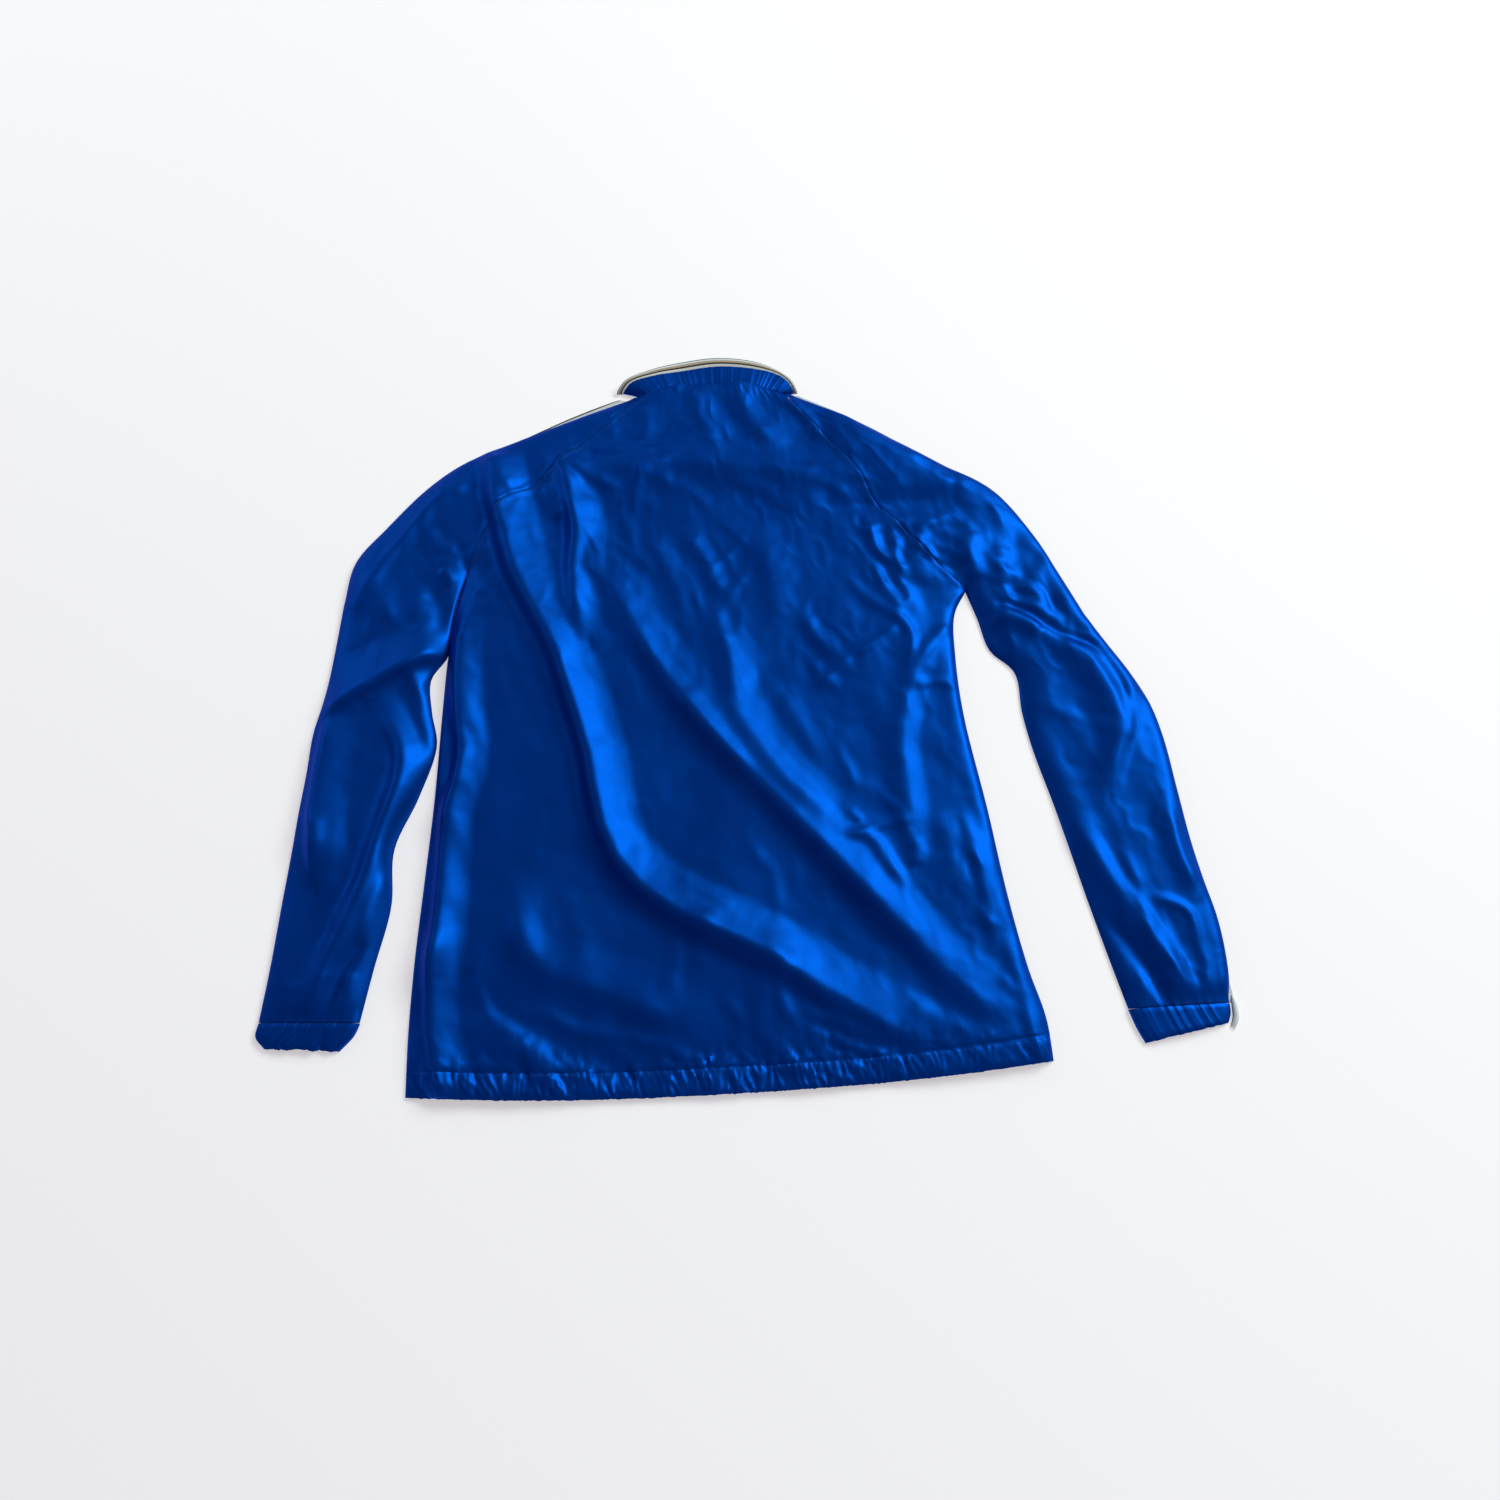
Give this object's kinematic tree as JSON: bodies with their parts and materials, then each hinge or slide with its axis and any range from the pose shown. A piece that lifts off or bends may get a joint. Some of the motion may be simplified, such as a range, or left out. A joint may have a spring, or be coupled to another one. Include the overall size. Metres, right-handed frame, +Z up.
{
  "type": "windbreaker jacket",
  "caption": "Satin raglan-sleeve windbreaker with a striped stand collar and a front zip, lying flat on its front.",
  "frame": {"origin": "middle of the outline, on the surface that the jacket lies on", "axes": "+X from the sleeve on the left of the picture to the one on its right, +Y from the hem to the collar, +Z up out of the back of the jacket"},
  "size_m": [0.8497, 0.7626, 0.0211],
  "materials": {
    "satin": "royal blue satin-woven nylon, smooth, with a soft broad sheen",
    "striped_knit": "ribbed knit edge with cream, dark brown and tan stripes",
    "white_tape": "off-white woven tape with thin dark edges",
    "zip_tape": "blue woven herringbone zip tape",
    "zip_metal": "bright pressed zip metal"
  },
  "bodies": {
    "jacket": {"back_panel": "satin", "hem_back": "satin", "sleeve_back_left": "satin", "sleeve_back_right": "satin", "sleeve_front_left": "satin", "sleeve_front_right": "satin", "cuff_left": "satin", "cuff_right": "satin", "front_left": "satin", "front_right": "satin", "collar_band": "satin", "collar_trim": "striped_knit", "sleeve_tape_left": "white_tape", "sleeve_tape_right": "white_tape", "zip_tape_left": "zip_tape", "zip_tape_right": "zip_tape", "zip_teeth": "zip_metal", "zip_slider": "zip_metal"},
    "pull_tab": {"pull_tab": "zip_metal"}
  },
  "joints": [
    {"name": "pull_tab_hinge", "type": "hinge", "parent": "jacket", "child": "pull_tab", "pos_m": [-0.0377, 0.3301, 0.00193], "axis": [0.9996, 0.029, 0], "range_deg": [0, 170]}
  ]
}
